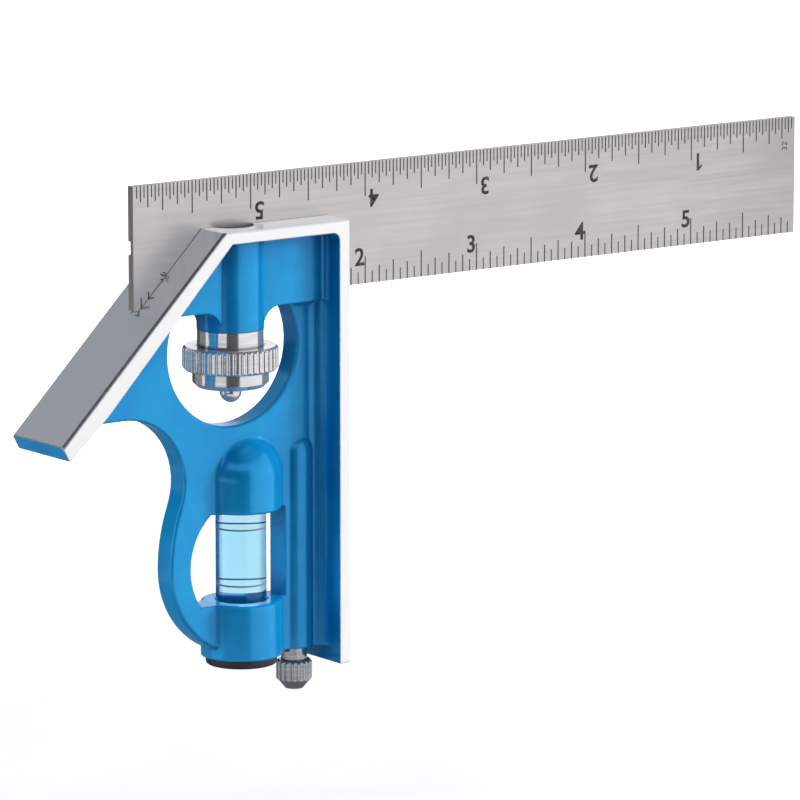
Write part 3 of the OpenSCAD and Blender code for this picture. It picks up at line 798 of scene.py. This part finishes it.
# Cards that the metal and the paint reflect: from azimuth, to azimuth, foot, top, grey level
CARDS = {
    "camera_card": (-48, -8, FLOOR_LEVEL, CARD_TOP, 0.01),
    "left_low_card": (-88, -48, FLOOR_LEVEL, -58 * MM, 0.03),
    "left_high_card": (-88, -48, -34 * MM, CARD_TOP, 0.03),
    "back_left_low_card": (-165, -128, FLOOR_LEVEL, -38.5 * MM, 0.25),
    "back_left_high_card": (-165, -128, -38.5 * MM, CARD_TOP, 0.02),
    "back_card": (-210, -165, FLOOR_LEVEL, CARD_TOP, 0.02),
    "right_card": (73, 91, FLOOR_LEVEL, CARD_TOP, 0.02),
}


def towards(azimuth, elevation):
    """Unit vector from the object, with azimuth in degrees from the front to the right."""
    across = math.radians(azimuth)
    up = math.radians(elevation)
    level = math.cos(up)
    return Vector((math.sin(across) * level, -math.cos(across) * level, math.sin(up)))


def floor_material():
    """Pale floor that keeps its shadow and reads white to the camera; reflections see it white
    further out and dim near the object, a painted shadow.
    """
    material, tree, shader = new_material("pale_floor")
    place = object_place(tree)
    shade = ramp(tree, noise(tree, place, *FLOOR_GRAIN), *FULL, *FLOOR_SHADES)
    colour = add_node(tree, "ShaderNodeCombineColor", {0: shade, 1: shade, 2: shade}).outputs[0]
    inputs = {0: place, 1: FLOOR_CENTRE}
    reach = add_node(tree, "ShaderNodeVectorMath", inputs, operation="DISTANCE").outputs["Value"]
    path = add_node(tree, "ShaderNodeLightPath").outputs
    glow = ramp(tree, reach, *GLOW_BAND, 0.0, FLOOR_GLOW)
    set_shader(
        tree,
        shader,
        Base_Color=colour,
        Roughness=FLOOR_ROUGHNESS,
        Emission_Color=WHITE,
        Emission_Strength=product(tree, path["Is Camera Ray"], glow),
    )
    # Painted shadow: in reflections the floor is dim near the object
    mirrored_with_painted_shadow = ramp(tree, reach, *MIRRORED_BAND, *FLOOR_MIRRORED)
    mirrored_with_painted_shadow = largest(tree, mirrored_with_painted_shadow, path["Is Transmission Ray"])
    mirrored = add_node(tree, "ShaderNodeEmission", {"Strength": mirrored_with_painted_shadow}).outputs[0]
    seen = largest(tree, path["Is Glossy Ray"], path["Is Transmission Ray"])
    surface = add_node(tree, "ShaderNodeMixShader", {0: seen, 1: shader.outputs[0], 2: mirrored})
    tree.links.new(surface.outputs[0], tree.nodes["Material Output"].inputs["Surface"])
    return material


def build_floor(shape):
    """One flat grid under the lowest reach of the scriber."""
    bmesh.ops.create_grid(
        shape, x_segments=FLOOR_CELLS, y_segments=FLOOR_CELLS, size=FLOOR_SIZE / 2
    )
    bmesh.ops.translate(shape, verts=shape.verts, vec=(0, 0, FLOOR_LEVEL))


def studio_fade(tree, height, stops):
    """Grey of the studio by the height of a ray."""
    fade = add_node(tree, "ShaderNodeValToRGB", {"Fac": height})
    while len(fade.color_ramp.elements) < len(stops):
        fade.color_ramp.elements.new(1.0)
    for element, (position, grey) in zip(fade.color_ramp.elements, stops):
        element.position = position
        element.color = (grey, grey, grey * STUDIO_BLUE, 1)
    return fade.outputs["Color"]


def add_studio():
    """World that the camera, reflections and glass see as a white studio, and is dim otherwise."""
    world = bpy.data.worlds.new("studio")
    bpy.context.scene.world = world
    world.use_nodes = True
    tree = world.node_tree
    ray = axes(tree, add_node(tree, "ShaderNodeTexCoord").outputs["Generated"])
    front = studio_fade(tree, ray["Z"], FRONT_STOPS)
    back = studio_fade(tree, ray["Z"], BACK_STOPS)
    studio = mix_colour(tree, within(tree, ray["Y"], FRONT_TO_BACK), front, back)
    path = add_node(tree, "ShaderNodeLightPath").outputs
    seen = [path[kind] for kind in ("Is Camera Ray", "Is Glossy Ray", "Is Transmission Ray")]
    colour = mix_colour(tree, largest(tree, *seen), AMBIENT, studio)
    tree.links.new(colour, tree.nodes["Background"].inputs["Color"])


def add_lamp(name, azimuth, elevation, distance, size, power, colour):
    """Square lamp that looks at the middle of the object and stays out of its reflections."""
    lamp = bpy.data.lights.new(name, "AREA")
    lamp.shape = "SQUARE"
    lamp.size = size
    lamp.energy = power
    lamp.color = colour
    holder = add_object(name, lamp)
    away = towards(azimuth, elevation)
    holder.location = CAMERA_TARGET + away * distance
    holder.rotation_euler = away.to_track_quat("Z", "Y").to_euler()
    holder.visible_glossy = False


def card_material(name, grey):
    """Card that glows evenly at a grey level, with a faint grain."""
    material, tree, shader = new_material(name)
    grain = noise(tree, object_place(tree), *CARD_GRAIN)
    darker = grey * (1 - CARD_SPREAD)
    lighter = grey * (1 + CARD_SPREAD)
    set_shader(
        tree,
        shader,
        Base_Color=CARD_BLACK,
        Roughness=1.0,
        Emission_Color=WHITE,
        Emission_Strength=ramp(tree, grain, *FULL, darker, lighter),
    )
    return material


def add_card(name, start, end, foot, top, grey):
    """Curved upright card that only reflections see."""
    def build(shape):
        rows = []
        for step in range(CARD_STEPS + 1):
            across = towards(start + (end - start) * step / CARD_STEPS, 0) * CARD_DISTANCE
            x = CARD_X + across.x
            rows.append([shape.verts.new((x, across.y, z)) for z in (foot, top)])
        for here, there in zip(rows, rows[1:]):
            shape.faces.new((here[0], there[0], there[1], here[1]))

    card = mesh_object(name, build, card_material(name, grey))
    card.visible_camera = card.visible_diffuse = False
    card.visible_shadow = card.visible_transmission = False


def add_camera():
    """The photograph's camera."""
    lens = bpy.data.cameras.new("photo_camera")
    lens.lens = CAMERA_LENS
    lens.sensor_width = CAMERA_SENSOR
    lens.clip_start, lens.clip_end = CAMERA_CLIP
    camera = add_object("photo_camera", lens)
    away = towards(CAMERA_AZIMUTH, CAMERA_ELEVATION)
    camera.location = CAMERA_TARGET + away * CAMERA_DISTANCE
    camera.rotation_euler = (-away).to_track_quat("-Z", "Y").to_euler()
    bpy.context.scene.camera = camera


mesh_object("floor", build_floor, floor_material())
add_studio()
for name, settings in LAMPS.items():
    add_lamp(name, *settings)
for name, settings in CARDS.items():
    add_card(name, *settings)
add_camera()
bpy.context.scene.view_settings.view_transform = "Standard"
